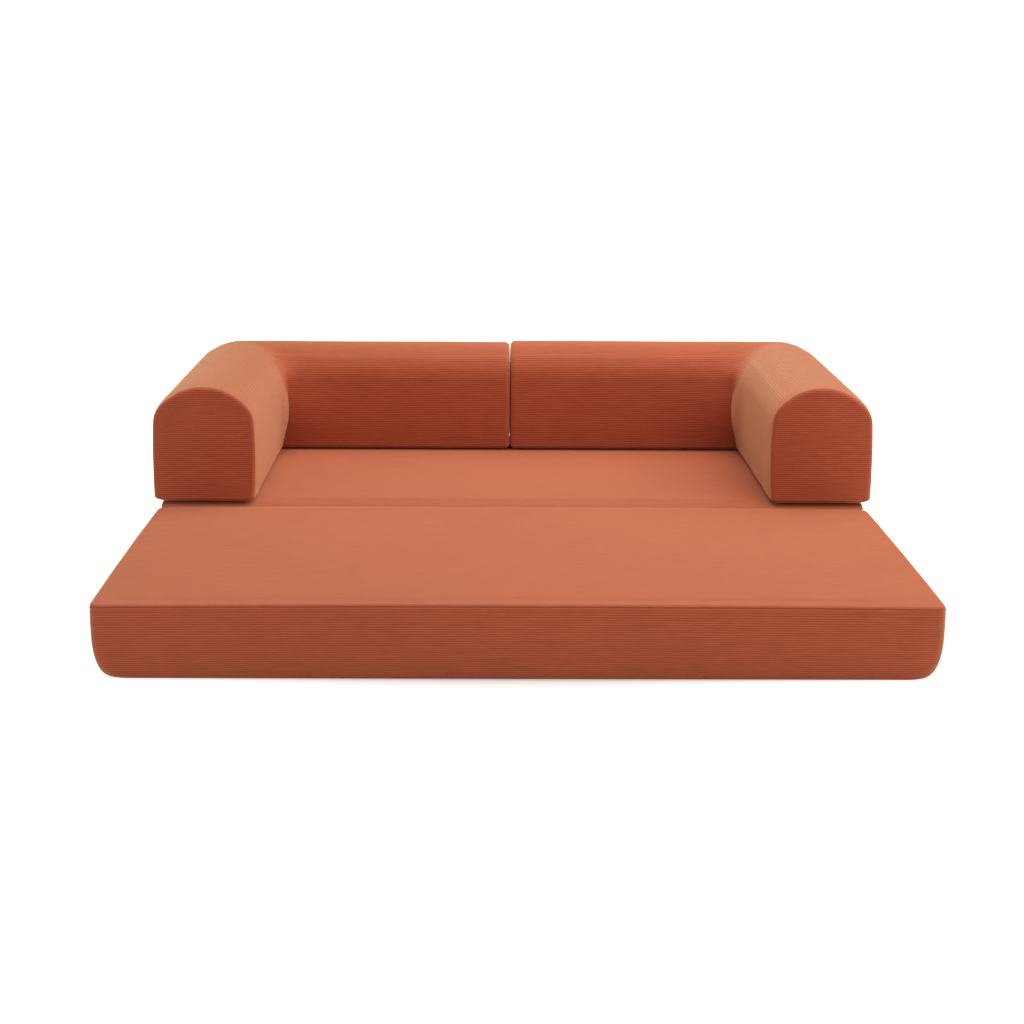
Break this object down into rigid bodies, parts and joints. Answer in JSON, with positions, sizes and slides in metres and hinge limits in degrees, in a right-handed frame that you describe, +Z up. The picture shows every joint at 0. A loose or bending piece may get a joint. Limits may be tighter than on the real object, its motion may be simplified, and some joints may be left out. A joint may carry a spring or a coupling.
{
  "type": "modular sofa bed",
  "caption": "Low all-foam sofa bed in ribbed corduroy, shown open: two floor mattresses end to end, with L-shaped arm-and-back modules on the rear one.",
  "frame": {"origin": "on the floor at the middle of the seam between the two mattresses", "axes": "+X towards the right-hand module as seen from the front, +Y towards the back, +Z up"},
  "size_m": [2.137, 2.351, 0.5477],
  "materials": {
    "corduroy": "fine ribbed rust orange",
    "firm_foam": "open-cell foam",
    "soft_foam": "soft open-cell foam",
    "nonslip_fabric": "dotted non-slip",
    "hinge_webbing": "close woven",
    "zip_tape": "woven tape",
    "zip_metal": "satin enamel",
    "hook_tape": "nylon hooks",
    "loop_tape": "brushed loops"
  },
  "bodies": {
    "rear_mattress": {"rear_base_foam": "firm_foam", "rear_comfort_foam": "soft_foam", "rear_cover": "corduroy", "rear_underside": "nonslip_fabric", "rear_hinge_leaf": "hinge_webbing", "rear_zip_tape": "zip_tape", "left_arm_loop_strip": "loop_tape", "left_back_loop_strip": "loop_tape", "right_arm_loop_strip": "loop_tape", "right_back_loop_strip": "loop_tape"},
    "front_mattress": {"front_base_foam": "firm_foam", "front_comfort_foam": "soft_foam", "front_cover": "corduroy", "front_underside": "nonslip_fabric", "front_hinge_leaf": "hinge_webbing", "front_zip_tape": "zip_tape"},
    "left_module": {"left_arm_foam": "firm_foam", "left_back_foam": "firm_foam", "left_cover": "corduroy", "left_underside": "nonslip_fabric", "left_zip_tape": "zip_tape", "left_arm_hook_strip": "hook_tape", "left_back_hook_strip": "hook_tape", "left_join_patch": "hook_tape"},
    "right_module": {"right_arm_foam": "firm_foam", "right_back_foam": "firm_foam", "right_cover": "corduroy", "right_underside": "nonslip_fabric", "right_zip_tape": "zip_tape", "right_arm_hook_strip": "hook_tape", "right_back_hook_strip": "hook_tape", "right_join_patch": "hook_tape"},
    "front_zip_slider": {"front_zip_slider": "zip_metal"},
    "front_zip_pull": {"front_zip_pull": "zip_metal"},
    "rear_zip_slider": {"rear_zip_slider": "zip_metal"},
    "rear_zip_pull": {"rear_zip_pull": "zip_metal"},
    "left_zip_slider": {"left_zip_slider": "zip_metal"},
    "left_zip_pull": {"left_zip_pull": "zip_metal"},
    "right_zip_slider": {"right_zip_slider": "zip_metal"},
    "right_zip_pull": {"right_zip_pull": "zip_metal"}
  },
  "joints": [
    {"name": "front_mattress_fold", "type": "hinge", "parent": "rear_mattress", "child": "front_mattress", "pos_m": [0, 0, -0.0003], "axis": [1, 0, 0], "range_deg": [0, 180]},
    {"name": "left_module_lift", "type": "slide", "parent": "rear_mattress", "child": "left_module", "axis": [0, 0, 1], "range_m": [0, 0.3]},
    {"name": "right_module_lift", "type": "slide", "parent": "rear_mattress", "child": "right_module", "axis": [0, 0, 1], "range_m": [0, 0.3]},
    {"name": "front_zip_open", "type": "slide", "parent": "front_mattress", "child": "front_zip_slider", "axis": [0, -1, 0], "range_m": [0, 0.8875]},
    {"name": "front_zip_pull_turn", "type": "hinge", "parent": "front_zip_slider", "child": "front_zip_pull", "pos_m": [1.0551, -0.1364, 0.13], "axis": [0, 0, 1], "range_deg": [0, 180]},
    {"name": "rear_zip_open", "type": "slide", "parent": "rear_mattress", "child": "rear_zip_slider", "axis": [1, 0, 0], "range_m": [0, 1.4775]},
    {"name": "rear_zip_pull_turn", "type": "hinge", "parent": "rear_zip_slider", "child": "rear_zip_pull", "pos_m": [-0.73875, 1.18525, 0.13], "axis": [0, 0, 1], "range_deg": [0, 180]},
    {"name": "right_zip_open", "type": "slide", "parent": "right_module", "child": "right_zip_slider", "axis": [1, 0, 0], "range_m": [0, 0.74115]},
    {"name": "right_zip_pull_turn", "type": "hinge", "parent": "right_zip_slider", "child": "right_zip_pull", "pos_m": [0.0906, 1.18861, 0.26121], "axis": [0, 0.0963, 0.9954], "range_deg": [0, 180]},
    {"name": "left_zip_open", "type": "slide", "parent": "left_module", "child": "left_zip_slider", "axis": [-1, 0, 0], "range_m": [0, 0.74115]},
    {"name": "left_zip_pull_turn", "type": "hinge", "parent": "left_zip_slider", "child": "left_zip_pull", "pos_m": [-0.0906, 1.18861, 0.26121], "axis": [0, -0.0963, -0.9954], "range_deg": [0, 180]}
  ]
}
